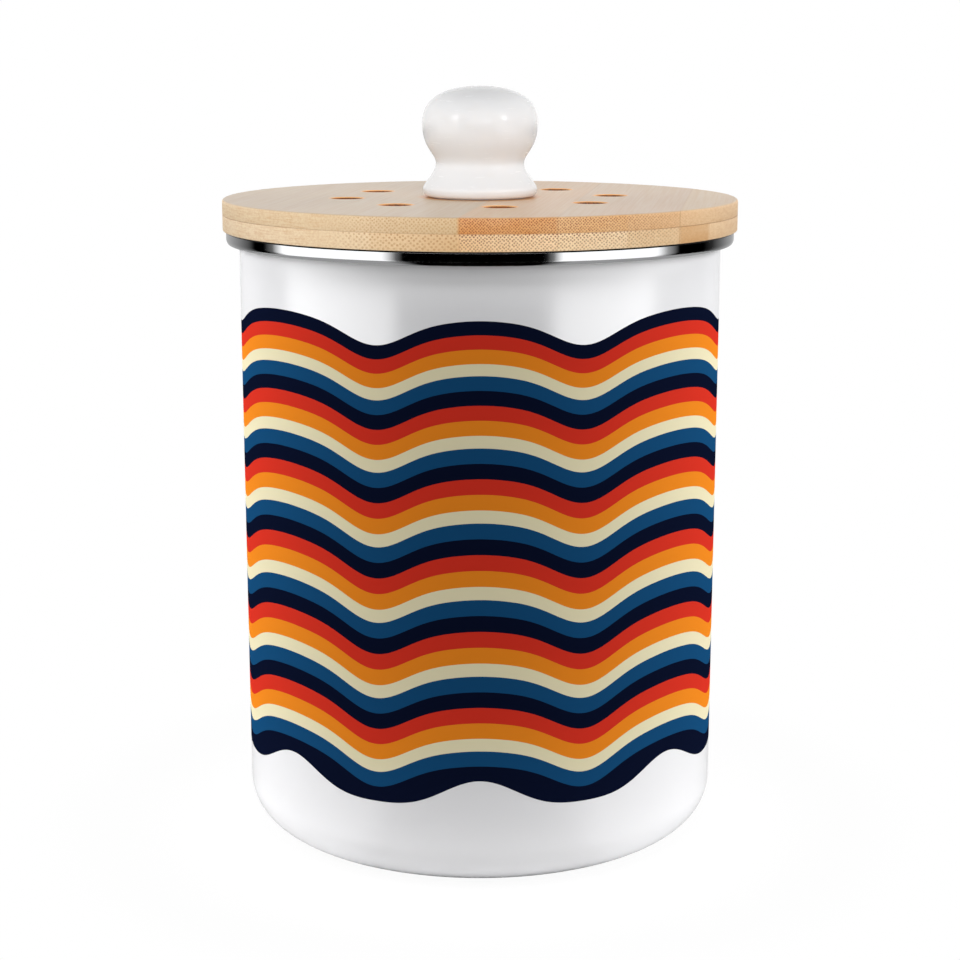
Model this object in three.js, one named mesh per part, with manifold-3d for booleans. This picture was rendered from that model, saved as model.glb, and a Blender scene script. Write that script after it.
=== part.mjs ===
// Compost caddy: a coated steel canister with a polished rim, closed by a bamboo lid
// that carries a knob, a seal and a charcoal filter.
// Millimetres, +Z up, the middle of the base at the origin.
import * as THREE from 'three';
import { mergeVertices } from 'three/addons/utils/BufferGeometryUtils.js';
import Module from 'manifold-3d';

const wasm = await Module();
wasm.setup();

// Canister
const canisterRadius = 75;
const canisterWall = 0.8;
const canisterBaseCorner = 13.5;

// Rim band, whose flat top is where the lid rests
const rimTopHeight = 190;
const rimOverhang = 4;
const rimBandHeight = 3.9;
const rimSheet = 0.5;
const rimTopEdge = 0.8;
const rimUnderEdge = 1.6;
const rimMouthEdge = 1.2;
const rimSleeveDepth = 9;

// Lid boards
const lidOverhang = 1;
const upperPlyThickness = 4.6;
const lowerPlyThickness = 5;
const lidTopEdge = 0.8;
const lidUnderEdge = 1;
const ventRadius = 5;
const ventCount = 8;
const ventStartDegrees = 8;

// Locating ring under the lid, and the seal in its groove
const locatingRingWidth = 13.5;
const locatingRingDepth = 8;
const locatingRingEdge = 1;
const sealGrooveTop = 1.5;
const sealGrooveHeight = 5;
const sealGrooveDepth = 2.5;
const sealLipCount = 2;
const sealLipPitch = 2.1;
const sealLipThickness = 0.9;
const sealLipTip = 0.5;
const sealLipRise = 1.1;

// Knob: widest at the bulb, waisted at the neck, spread again at the base
const knobHeight = 34;
const knobBulbRadius = 18;
const knobBulbHeight = 22.9;
const knobNeckRadius = 13.75;
const knobNeckHeight = 10.5;
const knobBaseRadius = 17.85;
const knobBaseHeight = 2.6;
const knobFootRadius = 16.7;

// Fixing of the knob
const knobScrewRadius = 2.5;
const knobScrewLength = 21;
const knobScrewHeadRadius = 4.8;
const knobScrewHeadHeight = 2.8;
const knobWasherRadius = 7.5;
const knobWasherThickness = 1.2;
const knobInsertRadius = 4.2;
const knobInsertLength = 13;
const knobInsertFlangeRadius = 6.5;
const knobInsertFlangeThickness = 1;
const knobInsertGrooveDepth = 0.6;
const knobInsertGrooveCount = 3;

// Filter frame, screwed under the lid inside the locating ring
const frameWall = 1.6;
const frameFlangeThickness = 1.6;
const frameFlangeWidth = 6.8;
const frameDepth = 11;
const frameScrewCount = 4;
const frameScrewStartDegrees = 30.5;
const frameScrewRadius = 1.5;
const frameScrewLength = 5.6;
const frameScrewHeadRadius = 2.6;
const frameScrewHeadHeight = 1.7;
const screwChamfer = 0.5;
const screwRecessWidth = 0.9;
const screwRecessReachShare = 0.6;
const screwRecessDepthShare = 0.55;

// Filter cap, a grille that pushes into the frame, and the pad that lies in it
const capFloorThickness = 1.6;
const capSkirtHeight = 6;
const capSkirtWall = 1.5;
const capLipOverhang = 1.5;
const grilleHubRadius = 9;
const grilleRibWidth = 4;
const grilleRingCount = 3;
const grilleSectorCount = 8;
const gripLength = 40;
const gripWidth = 6;
const gripDepth = 6;
const padThickness = 6;
const padEdge = 0.6;

// Clearances
const sleeveGap = 0.3; // rim sleeve to canister wall, and over the wall's raw edge
const mouthGap = 3.9; // locating ring to the sleeve, which the seal's lips span
const sealGap = 0.3; // seal to the sleeve and to its groove
const ringGap = 0.4; // filter frame to locating ring
const ventMargin = 0.7; // filter frame's flange to the vent holes
const pushGap = 0.3; // filter cap to frame
const padGap = 0.4; // pad to filter cap
const holeGap = 0.3; // round a screw, insert or washer
const tipGap = 0.4; // past the end of a screw or insert
const cutOverrun = 1; // how far a cutting shape runs past the face it cuts
const weld = 0.2; // how far the grip sinks into the cap that it is one with

// Steps round a full turn, and along a rounded edge
const wideSteps = 64;
const knobSteps = 40;
const ventSteps = 20;
const screwSteps = 16;
const cornerSteps = 6;
const edgeSteps = 2;
const curveSteps = 5;
const slotArcSteps = 5;

// Directions in a profile, in degrees from outward, counterclockwise
const outward = 0;
const up = 90;
const inward = 180;
const down = -90;
const degree = Math.PI / 180;
const fullTurn = 2 * Math.PI;

// Points of an arc in the profile plane, as [radius, height] pairs
function arc(centreRadius, centreHeight, arcRadius, from, to, steps) {
  const points = [];
  for (let i = 0; i <= steps; i += 1) {
    const angle = (from + ((to - from) * i) / steps) * degree;
    const reach = arcRadius * Math.cos(angle);
    const rise = arcRadius * Math.sin(angle);
    points.push([centreRadius + reach, centreHeight + rise]);
  }
  return points;
}

// Solid from a closed geometry, its shared corners merged and empty triangles dropped
function solid(geometry) {
  const bare = geometry.clone();
  bare.deleteAttribute('normal');
  bare.deleteAttribute('uv');
  const merged = mergeVertices(bare);
  const corners = merged.index.array;
  const triangles = [];
  for (let i = 0; i < corners.length; i += 3) {
    const [a, b, c] = corners.slice(i, i + 3);
    if (a !== b && b !== c && c !== a) {
      triangles.push(a, b, c);
    }
  }
  const mesh = new wasm.Mesh({
    numProp: 3,
    vertProperties: merged.attributes.position.array,
    triVerts: new Uint32Array(triangles),
  });
  return new wasm.Manifold(mesh);
}

// Solid turned about Z from a closed profile that runs counterclockwise
function turned(profile, steps) {
  const points = [...profile, profile[0]].map(([radius, height]) => new THREE.Vector2(radius, height));
  return solid(new THREE.LatheGeometry(points, steps).rotateX(Math.PI / 2));
}

// Upright round rod between two heights
function rod(radius, low, high, steps) {
  return turned([[0, low], [radius, low], [radius, high], [0, high]], steps);
}

// Places spread evenly on a circle about Z
function onCircle(count, circleRadius, startDegrees) {
  const places = [];
  for (let i = 0; i < count; i += 1) {
    const angle = startDegrees * degree + (i * fullTurn) / count;
    const x = circleRadius * Math.cos(angle);
    const y = circleRadius * Math.sin(angle);
    places.push([x, y, 0]);
  }
  return places;
}

// Solid with the same cut made at each place
function cutAt(body, cut, places) {
  return places.reduce((rest, place) => rest.subtract(cut.translate(place)), body);
}

// Canister, from the floor up to the raw edge inside the rim band
const canisterInnerRadius = canisterRadius - canisterWall;
const canisterEdgeHeight = rimTopHeight - rimSheet - sleeveGap;

function canisterShell() {
  const innerCorner = canisterBaseCorner - canisterWall;
  const cornerRadius = canisterRadius - canisterBaseCorner;
  const profile = [
    [0, 0],
    ...arc(cornerRadius, canisterBaseCorner, canisterBaseCorner, down, outward, cornerSteps),
    [canisterRadius, canisterEdgeHeight],
    [canisterInnerRadius, canisterEdgeHeight],
    ...arc(cornerRadius, canisterBaseCorner, innerCorner, outward, down, cornerSteps),
    [0, canisterWall],
  ];
  return turned(profile, wideSteps);
}

// Rim band: a sleeve inside the mouth, a flat top, and a bead that closes on the wall
const rimRadius = canisterRadius + rimOverhang;
const sleeveOuterRadius = canisterInnerRadius - sleeveGap;
const sleeveInnerRadius = sleeveOuterRadius - rimSheet;

function rimBand() {
  const beadHeight = rimTopHeight - rimBandHeight;
  const underSheet = rimTopHeight - rimSheet;
  const mouthArcRadius = sleeveInnerRadius + rimMouthEdge;
  const mouthArcHeight = rimTopHeight - rimMouthEdge;
  const topArcHeight = rimTopHeight - rimTopEdge;
  const underArcHeight = beadHeight + rimUnderEdge;
  const profile = [
    [canisterRadius + sleeveGap, beadHeight],
    ...arc(rimRadius - rimUnderEdge, underArcHeight, rimUnderEdge, down, outward, edgeSteps + 1),
    ...arc(rimRadius - rimTopEdge, topArcHeight, rimTopEdge, outward, up, edgeSteps),
    ...arc(mouthArcRadius, mouthArcHeight, rimMouthEdge, up, inward, edgeSteps),
    [sleeveInnerRadius, rimTopHeight - rimSleeveDepth],
    [sleeveOuterRadius, rimTopHeight - rimSleeveDepth],
    [sleeveOuterRadius, underSheet],
    [canisterRadius + sleeveGap, underSheet],
  ];
  return turned(profile, wideSteps);
}

// Radii under the lid, from the mouth inwards to the vent holes
const locatingRingRadius = sleeveInnerRadius - mouthGap;
const locatingRingBore = locatingRingRadius - locatingRingWidth;
const frameRadius = locatingRingBore - ringGap;
const frameBore = frameRadius - frameWall;
const frameFlangeBore = frameBore - frameFlangeWidth;
const frameScrewCircleRadius = (frameFlangeBore + frameBore) / 2;
const frameScrewPlaces = onCircle(frameScrewCount, frameScrewCircleRadius, frameScrewStartDegrees);
const ventCircleRadius = frameFlangeBore - ventMargin - ventRadius;

// Lid, in its own frame: its underside is at height 0 and rests on the rim band
const lidRadius = rimRadius + lidOverhang;
const lidThickness = lowerPlyThickness + upperPlyThickness;
const knobScrewHole = knobScrewRadius + holeGap;

function drilled(board, low, high) {
  const vent = rod(ventRadius, low - cutOverrun, high + cutOverrun, ventSteps);
  const screwHole = rod(knobScrewHole, low - cutOverrun, high + cutOverrun, screwSteps);
  const vents = onCircle(ventCount, ventCircleRadius, ventStartDegrees);
  return cutAt(board.subtract(screwHole), vent, vents);
}

function lidUpperPly() {
  const profile = [
    [0, lowerPlyThickness],
    [lidRadius, lowerPlyThickness],
    ...arc(lidRadius - lidTopEdge, lidThickness - lidTopEdge, lidTopEdge, outward, up, edgeSteps),
    [0, lidThickness],
  ];
  return drilled(turned(profile, wideSteps), lowerPlyThickness, lidThickness);
}

function lidLowerPly() {
  const profile = [
    [0, 0],
    ...arc(lidRadius - lidUnderEdge, lidUnderEdge, lidUnderEdge, down, outward, edgeSteps),
    [lidRadius, lowerPlyThickness],
    [0, lowerPlyThickness],
  ];
  const pilotTop = frameScrewLength - frameFlangeThickness + tipGap;
  const pilot = rod(frameScrewRadius + holeGap, -cutOverrun, pilotTop, screwSteps);
  const board = drilled(turned(profile, wideSteps), 0, lowerPlyThickness);
  return cutAt(board, pilot, frameScrewPlaces);
}

const grooveBottom = -sealGrooveTop - sealGrooveHeight;
const grooveRadius = locatingRingRadius - sealGrooveDepth;

function lidLocatingRing() {
  const profile = [
    [locatingRingBore, -locatingRingDepth],
    [locatingRingRadius - locatingRingEdge, -locatingRingDepth],
    [locatingRingRadius, -locatingRingDepth + locatingRingEdge],
    [locatingRingRadius, grooveBottom],
    [grooveRadius, grooveBottom],
    [grooveRadius, -sealGrooveTop],
    [locatingRingRadius, -sealGrooveTop],
    [locatingRingRadius, 0],
    [locatingRingBore, 0],
  ];
  return turned(profile, wideSteps);
}

// Seal: a band in the groove with thin lips that slope up towards the sleeve
function lidSeal() {
  const bandInner = grooveRadius + sealGap;
  const bandBottom = grooveBottom + sealGap;
  const bandTop = -sealGrooveTop - sealGap;
  const lipReach = sleeveInnerRadius - sealGap;
  const profile = [[bandInner, bandBottom]];
  for (let i = 0; i < sealLipCount; i += 1) {
    const root = bandBottom + i * sealLipPitch;
    const tip = root + sealLipRise;
    profile.push([locatingRingRadius, root]);
    profile.push([lipReach, tip]);
    profile.push([lipReach, tip + sealLipTip]);
    profile.push([locatingRingRadius, root + sealLipThickness]);
  }
  profile.push([locatingRingRadius, bandTop]);
  profile.push([bandInner, bandTop]);
  return turned(profile, wideSteps);
}

// Knob, in its own frame: its foot is at height 0 on the lid's top
const insertPocketDepth = knobInsertLength + tipGap;

// Upright curve from one radius and height to another, both ends vertical or level
function bend(from, leaving, arriving, to) {
  const curve = new THREE.CubicBezierCurve(
    new THREE.Vector2(...from),
    new THREE.Vector2(...leaving),
    new THREE.Vector2(...arriving),
    new THREE.Vector2(...to),
  );
  return curve.getPoints(curveSteps).map((point) => [point.x, point.y]);
}

// How far each curve of the knob holds its end's direction, as a share of its height
const footCurveShare = 0.5;
const baseCurveShare = 0.19;
const neckCurveShare = 0.38;
const neckUpperShare = 0.24;
const bulbUnderShare = 0.65;
const bulbOverShare = 0.66;
const crownShare = 0.62;

function knobOutline() {
  const toNeck = knobNeckHeight - knobBaseHeight;
  const toBulb = knobBulbHeight - knobNeckHeight;
  const toTop = knobHeight - knobBulbHeight;
  const footCurve = bend(
    [knobFootRadius, 0],
    [knobFootRadius + (knobBaseRadius - knobFootRadius) * footCurveShare, 0],
    [knobBaseRadius, knobBaseHeight * footCurveShare],
    [knobBaseRadius, knobBaseHeight],
  );
  const baseCurve = bend(
    [knobBaseRadius, knobBaseHeight],
    [knobBaseRadius, knobBaseHeight + toNeck * baseCurveShare],
    [knobNeckRadius, knobNeckHeight - toNeck * neckCurveShare],
    [knobNeckRadius, knobNeckHeight],
  );
  const neckCurve = bend(
    [knobNeckRadius, knobNeckHeight],
    [knobNeckRadius, knobNeckHeight + toBulb * neckUpperShare],
    [knobBulbRadius, knobBulbHeight - toBulb * bulbUnderShare],
    [knobBulbRadius, knobBulbHeight],
  );
  const crownCurve = bend(
    [knobBulbRadius, knobBulbHeight],
    [knobBulbRadius, knobBulbHeight + toTop * bulbOverShare],
    [knobBulbRadius * crownShare, knobHeight],
    [0, knobHeight],
  );
  return [...footCurve, ...baseCurve.slice(1), ...neckCurve.slice(1), ...crownCurve.slice(1)];
}

function knob() {
  const body = turned([[0, 0], ...knobOutline()], knobSteps);
  const pocket = rod(knobInsertRadius + holeGap, -cutOverrun, insertPocketDepth, screwSteps);
  const flangeSeat = knobInsertFlangeThickness + holeGap;
  const counterbore = rod(knobInsertFlangeRadius + holeGap, -cutOverrun, flangeSeat, screwSteps);
  return body.subtract(pocket).subtract(counterbore);
}

// Insert: a flange at the knob's foot and a barrel with grooves that grip the wood
function knobInsert() {
  const barrelLength = knobInsertLength - knobInsertFlangeThickness;
  const step = barrelLength / (2 * knobInsertGrooveCount);
  const groovedRadius = knobInsertRadius - knobInsertGrooveDepth;
  const profile = [
    [knobScrewHole, 0],
    [knobInsertFlangeRadius, 0],
    [knobInsertFlangeRadius, knobInsertFlangeThickness],
  ];
  for (let i = 0; i < knobInsertGrooveCount; i += 1) {
    const low = knobInsertFlangeThickness + 2 * i * step;
    profile.push([groovedRadius, low]);
    profile.push([groovedRadius, low + step]);
    profile.push([knobInsertRadius, low + step]);
    profile.push([knobInsertRadius, low + 2 * step]);
  }
  profile.push([knobScrewHole, knobInsertLength]);
  return turned(profile, screwSteps);
}

// Screw with its head's bearing face at height 0, the shank up and the head down
function screw(shankRadius, length, headRadius, headHeight) {
  const profile = [
    [0, -headHeight],
    [headRadius - screwChamfer, -headHeight],
    [headRadius, screwChamfer - headHeight],
    [headRadius, 0],
    [shankRadius, 0],
    [shankRadius, length - screwChamfer],
    [shankRadius - screwChamfer, length],
    [0, length],
  ];
  const reach = 2 * headRadius * screwRecessReachShare;
  const depth = headHeight * screwRecessDepthShare + cutOverrun;
  const recessMiddle = depth / 2 - headHeight - cutOverrun;
  const along = new THREE.BoxGeometry(reach, screwRecessWidth, depth).translate(0, 0, recessMiddle);
  const across = new THREE.BoxGeometry(screwRecessWidth, reach, depth).translate(0, 0, recessMiddle);
  return turned(profile, screwSteps).subtract(solid(along)).subtract(solid(across));
}

function knobScrew() {
  return screw(knobScrewRadius, knobScrewLength, knobScrewHeadRadius, knobScrewHeadHeight);
}

function knobWasher() {
  const profile = [
    [knobScrewHole, -knobWasherThickness],
    [knobWasherRadius, -knobWasherThickness],
    [knobWasherRadius, 0],
    [knobScrewHole, 0],
  ];
  return turned(profile, screwSteps + screwSteps / 2);
}

// Filter frame: a flange under the lid outside the vent holes, and a collar down from it
function filterFrame() {
  const profile = [
    [frameBore, -frameDepth],
    [frameRadius, -frameDepth],
    [frameRadius, 0],
    [frameFlangeBore, 0],
    [frameFlangeBore, -frameFlangeThickness],
    [frameBore, -frameFlangeThickness],
  ];
  const hole = rod(frameScrewRadius + holeGap, -frameFlangeThickness - cutOverrun, cutOverrun, screwSteps);
  return cutAt(turned(profile, wideSteps), hole, frameScrewPlaces);
}

function frameScrew() {
  return screw(frameScrewRadius, frameScrewLength, frameScrewHeadRadius, frameScrewHeadHeight);
}

// Filter cap, in its own frame: height 0 is its floor's top, level with the frame's lower end
const capSkirtRadius = frameBore - pushGap;
const capBore = capSkirtRadius - capSkirtWall;
const capLipRadius = frameRadius + capLipOverhang;

// Slot of the grille between two radii, with straight ends half a rib from the sector's sides
function grilleSlot(innerRadius, outerRadius, sector) {
  const start = (sector * fullTurn) / grilleSectorCount;
  const end = ((sector + 1) * fullTurn) / grilleSectorCount;
  const outerTrim = Math.asin(grilleRibWidth / 2 / outerRadius);
  const innerTrim = Math.asin(grilleRibWidth / 2 / innerRadius);
  const outline = new THREE.Shape();
  outline.absarc(0, 0, outerRadius, start + outerTrim, end - outerTrim, false);
  outline.absarc(0, 0, innerRadius, end - innerTrim, start + innerTrim, true);
  outline.closePath();
  const depth = capFloorThickness + 2 * cutOverrun;
  const options = { depth, bevelEnabled: false, curveSegments: slotArcSteps };
  const slot = new THREE.ExtrudeGeometry(outline, options);
  return solid(slot.translate(0, 0, -capFloorThickness - cutOverrun));
}

function filterCap() {
  const profile = [
    [0, -capFloorThickness],
    [capLipRadius, -capFloorThickness],
    [capLipRadius, 0],
    [capSkirtRadius, 0],
    [capSkirtRadius, capSkirtHeight],
    [capBore, capSkirtHeight],
    [capBore, 0],
    [0, 0],
  ];
  let cap = turned(profile, wideSteps);
  const ringPitch = (capBore - grilleHubRadius) / grilleRingCount;
  for (let ring = 0; ring < grilleRingCount; ring += 1) {
    const innerRadius = grilleHubRadius + ring * ringPitch;
    const outerRadius = innerRadius + ringPitch - grilleRibWidth;
    for (let sector = 0; sector < grilleSectorCount; sector += 1) {
      cap = cap.subtract(grilleSlot(innerRadius, outerRadius, sector));
    }
  }
  const gripTop = weld - capFloorThickness;
  const gripMiddle = gripTop - (gripDepth + weld) / 2;
  const grip = new THREE.BoxGeometry(gripLength, gripWidth, gripDepth + weld).translate(0, 0, gripMiddle);
  return cap.add(solid(grip));
}

function charcoalFilter() {
  const padRadius = capBore - padGap;
  const profile = [
    [0, 0],
    [padRadius - padEdge, 0],
    [padRadius, padEdge],
    [padRadius, padThickness - padEdge],
    [padRadius - padEdge, padThickness],
    [0, padThickness],
  ];
  return turned(profile, wideSteps);
}

// Finishes
const finishes = {
  enamel: { color: 0xf3f3f1, roughness: 0.18, metalness: 0 },
  polishedSteel: { color: 0xc9cbcc, roughness: 0.08, metalness: 1 },
  bamboo: { color: 0xd9ac72, roughness: 0.6, metalness: 0 },
  paleBamboo: { color: 0xe0bd8a, roughness: 0.6, metalness: 0 },
  lacquer: { color: 0xf0efee, roughness: 0.3, metalness: 0 },
  silicone: { color: 0xdcdad5, roughness: 0.55, metalness: 0 },
  brass: { color: 0xc7a052, roughness: 0.35, metalness: 1 },
  zincSteel: { color: 0xb4b6b8, roughness: 0.35, metalness: 1 },
  framePlastic: { color: 0xe6e5e1, roughness: 0.5, metalness: 0 },
  charcoal: { color: 0x1f1f20, roughness: 0.95, metalness: 0 },
};

function piece(name, body, finish) {
  const mesh = body.getMesh();
  const geometry = new THREE.BufferGeometry();
  geometry.setAttribute('position', new THREE.BufferAttribute(mesh.vertProperties, mesh.numProp));
  geometry.setIndex(new THREE.BufferAttribute(mesh.triVerts, 1));
  geometry.computeVertexNormals();
  const result = new THREE.Mesh(geometry, new THREE.MeshStandardMaterial(finishes[finish]));
  result.name = name;
  return result;
}

const canister = new THREE.Group();
canister.add(piece('canister_shell', canisterShell(), 'enamel'));
canister.add(piece('rim_band', rimBand(), 'polishedSteel'));

const knobGroup = new THREE.Group();
knobGroup.position.z = lidThickness;
knobGroup.add(piece('knob', knob(), 'lacquer'));
knobGroup.add(piece('knob_insert', knobInsert(), 'brass'));

const knobFixing = new THREE.Group();
knobFixing.add(piece('knob_washer', knobWasher(), 'zincSteel'));
const knobScrewMesh = piece('knob_screw', knobScrew(), 'zincSteel');
knobScrewMesh.position.z = -knobWasherThickness;
knobFixing.add(knobScrewMesh);

const filterGroup = new THREE.Group();
filterGroup.position.z = -frameDepth;
filterGroup.add(piece('filter_cap', filterCap(), 'framePlastic'));
filterGroup.add(piece('charcoal_filter', charcoalFilter(), 'charcoal'));

const lid = new THREE.Group();
lid.position.z = rimTopHeight;
lid.add(piece('lid_upper_ply', lidUpperPly(), 'bamboo'));
lid.add(piece('lid_lower_ply', lidLowerPly(), 'paleBamboo'));
lid.add(piece('lid_locating_ring', lidLocatingRing(), 'paleBamboo'));
lid.add(piece('lid_seal', lidSeal(), 'silicone'));
lid.add(piece('filter_frame', filterFrame(), 'framePlastic'));
frameScrewPlaces.forEach(([x, y], index) => {
  const screwMesh = piece(`frame_screw_${index + 1}`, frameScrew(), 'zincSteel');
  screwMesh.position.set(x, y, -frameFlangeThickness);
  lid.add(screwMesh);
});
lid.add(knobGroup, knobFixing, filterGroup);

const caddy = new THREE.Group();
caddy.add(canister, lid);

export default caddy;
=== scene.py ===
import math

import bpy
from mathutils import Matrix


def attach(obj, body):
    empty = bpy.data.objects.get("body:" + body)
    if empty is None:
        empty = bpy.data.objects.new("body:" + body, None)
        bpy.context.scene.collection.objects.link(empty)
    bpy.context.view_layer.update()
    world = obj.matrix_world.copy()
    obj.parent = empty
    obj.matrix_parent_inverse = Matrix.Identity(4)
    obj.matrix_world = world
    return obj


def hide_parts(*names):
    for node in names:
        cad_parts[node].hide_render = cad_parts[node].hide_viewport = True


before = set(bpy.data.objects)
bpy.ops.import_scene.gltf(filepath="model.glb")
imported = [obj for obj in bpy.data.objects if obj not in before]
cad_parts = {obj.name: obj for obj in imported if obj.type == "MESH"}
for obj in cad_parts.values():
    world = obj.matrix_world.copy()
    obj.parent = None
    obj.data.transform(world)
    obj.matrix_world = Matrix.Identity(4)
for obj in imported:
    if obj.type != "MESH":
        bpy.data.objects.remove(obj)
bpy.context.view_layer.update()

mm = 0.001
overrun = 2.0  # how far a cutter reaches beyond the faces that it cuts, in millimetres
core = 2.0  # radius of the small disc in the middle of a round floor


# small helpers

def say(words):
    print("caddy:", words)


def pull(values, *names):
    return [values[name] for name in names]


def setMode(mode):
    bpy.ops.object.mode_set(mode=mode)


def selectAll(action):
    bpy.ops.mesh.select_all(action=action)


def deselectEverything():
    if bpy.context.object and bpy.context.object.mode != "OBJECT":
        setMode("OBJECT")
    bpy.ops.object.select_all(action="DESELECT")


def workOn(piece):
    deselectEverything()
    piece.select_set(True)
    bpy.context.view_layer.objects.active = piece


def arcPoints(centreR, centreZ, radius, start, end, steps):
    # a stretch of a round edge, as (radius, height) pairs, angles in degrees
    points = []
    for i in range(steps + 1):
        angle = math.radians(start + (end - start) * i / steps)
        points.append((centreR + radius * math.cos(angle), centreZ + radius * math.sin(angle)))
    return points


def bendPoints(start, leaving, arriving, end, steps):
    # a smooth curve between two points with its two handles, as (radius, height) pairs
    points = []
    for i in range(steps + 1):
        t = i / steps
        weights = ((1 - t) ** 3, 3 * t * (1 - t) ** 2, 3 * t * t * (1 - t), t ** 3)
        corners = (start, leaving, arriving, end)
        points.append(tuple(sum(w * c[k] for w, c in zip(weights, corners)) for k in (0, 1)))
    return points


def pick(piece, kind, wanted):
    # picks vertices or faces from object mode, and goes back to edit mode
    setMode("EDIT")
    bpy.ops.mesh.select_mode(type=kind)
    selectAll("DESELECT")
    setMode("OBJECT")
    for part in piece.data.vertices if kind == "VERT" else piece.data.polygons:
        part.select = bool(wanted(part))
    setMode("EDIT")


def turnPiece(name, outline, segments, closed=False):
    # a ring at the outline's first point, drawn out ring by ring, in millimetres
    deselectEverything()
    startR, startZ = outline[0]
    bpy.ops.mesh.primitive_circle_add(vertices=segments, radius=startR * mm, location=(0, 0, startZ * mm))
    piece = bpy.context.object
    piece.name = name
    piece.data.name = name
    bpy.ops.object.transform_apply()
    setMode("EDIT")
    selectAll("SELECT")
    for (fromR, fromZ), (toR, toZ) in zip(outline, outline[1:]):
        bpy.ops.mesh.extrude_region_move(TRANSFORM_OT_translate={"value": (0, 0, (toZ - fromZ) * mm)})
        if toR != fromR:
            grow = toR / fromR
            bpy.ops.transform.resize(value=(grow, grow, 1), center_override=(0, 0, toZ * mm))
    if closed:
        selectAll("DESELECT")
        bpy.ops.mesh.select_non_manifold()
        bpy.ops.mesh.bridge_edge_loops()
    else:
        bpy.ops.mesh.edge_face_add()
        pick(piece, "VERT", lambda vertex: vertex.index < segments)
        bpy.ops.mesh.edge_face_add()
    selectAll("SELECT")
    bpy.ops.mesh.normals_make_consistent(inside=False)
    setMode("OBJECT")
    return piece


def plainRod(radius, low, high, segments, name="cutter"):
    return turnPiece(name, [(radius, low), (radius, high)], segments)


def change(piece, kind, **settings):
    # puts a modifier on the piece and applies it
    workOn(piece)
    modifier = piece.modifiers.new("change", kind)
    for name, value in settings.items():
        setattr(modifier, name, value)
    bpy.ops.object.modifier_apply(modifier=modifier.name)


def merge(piece, other, operation="DIFFERENCE"):
    # takes the other out of the piece, or joins it on, and then removes it
    change(piece, "BOOLEAN", operation=operation, solver="EXACT", object=other)
    bpy.data.objects.remove(other)


def roundEdges(piece, width, steps=2, angle=40):
    limit = math.radians(angle)
    change(piece, "BEVEL", width=width * mm, segments=steps, limit_method="ANGLE", angle_limit=limit)


def joinPieces(pieces):
    deselectEverything()
    for piece in pieces:
        piece.select_set(True)
    bpy.context.view_layer.objects.active = pieces[0]
    bpy.ops.object.join()
    return pieces[0]


def copyTo(piece, x=0, y=0, turn=0):
    # a copy with its own mesh, its new place and turn kept in the mesh
    workOn(piece)
    bpy.ops.object.duplicate()
    copy = bpy.context.object
    copy.location = (x * mm, y * mm, 0)
    copy.rotation_euler = (0, 0, math.radians(turn))
    bpy.ops.object.transform_apply()
    return copy


def copiesRound(first, count, circle, start):
    # copies on a circle round the axis, in place of the first
    angles = [math.radians(start + 360 * i / count) for i in range(count)]
    copies = [copyTo(first, circle * math.cos(angle), circle * math.sin(angle)) for angle in angles]
    bpy.data.objects.remove(first)
    return copies


def settle(piece, body, material, node, angle=30):
    # smooth shading, finish, body and the node that the piece stands for
    workOn(piece)
    bpy.ops.object.shade_smooth_by_angle(angle=math.radians(angle))
    piece.data.materials.clear()
    piece.data.materials.append(material)
    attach(piece, body)
    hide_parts(node)


# material helpers, which add nodes to the material or world that is in hand
inHand = {"tree": None}


def shade(red, green, blue):
    # a colour as picked on screen, 0 to 255, turned to the linear one that nodes use
    def linear(value):
        value /= 255
        return value / 12.92 if value <= 0.04045 else ((value + 0.055) / 1.055) ** 2.4
    return (linear(red), linear(green), linear(blue), 1)


def grey(tone):
    return (tone, tone, tone, 1)


def newMaterial(name):
    material = bpy.data.materials.new(name)
    material.use_nodes = True
    inHand["tree"] = material.node_tree
    return material, material.node_tree.nodes["Principled BSDF"]


def addNode(kind):
    return inHand["tree"].nodes.new("ShaderNode" + kind)


def plug(socket, value):
    if isinstance(value, bpy.types.NodeSocket):
        inHand["tree"].links.new(value, socket)
    else:
        socket.default_value = value


def feed(node, *values):
    for socket, value in zip(node.inputs, values):
        plug(socket, value)


def dress(node, values):
    for name, value in values.items():
        plug(node.inputs[name], value)


def showAs(shader):
    plug(inHand["tree"].nodes["Material Output"].inputs["Surface"], shader)


def calc(operation, *values, clamp=False):
    node = addNode("Math")
    node.operation = operation
    node.use_clamp = clamp
    feed(node, *values)
    return node.outputs[0]


def times(first, second):
    return calc("MULTIPLY", first, second)


def timesPlus(first, second, added):
    return calc("MULTIPLY_ADD", first, second, added)


def minus(first, second):
    return calc("SUBTRACT", first, second)


def above(value, limit):
    return calc("GREATER_THAN", value, limit)


def below(value, limit):
    return calc("LESS_THAN", value, limit)


def longSide(first, second):
    return calc("SQRT", timesPlus(first, first, times(second, second)))


def rescale(value, fromLow, fromHigh, toLow, toHigh, kind="LINEAR"):
    node = addNode("MapRange")
    node.interpolation_type = kind
    feed(node, value, fromLow, fromHigh, toLow, toHigh)
    return node.outputs[0]


def fade(value, low, high, start=0, end=1):
    return rescale(value, low, high, start, end, "SMOOTHSTEP")


def blendColours(amount, first, second):
    node = addNode("Mix")
    node.data_type = "RGBA"
    dress(node, {0: amount, 6: first, 7: second})
    return node.outputs[2]


def bands(value, stops, smooth=False):
    # a colour ramp from (place, colour) pairs
    node = addNode("ValToRGB")
    ramp = node.color_ramp
    ramp.interpolation = "LINEAR" if smooth else "CONSTANT"
    while len(ramp.elements) < len(stops):
        ramp.elements.new(0.5)
    for element, (place, colour) in zip(ramp.elements, stops):
        element.position = place
        element.color = colour
    feed(node, value)
    return node.outputs[0]


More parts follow.
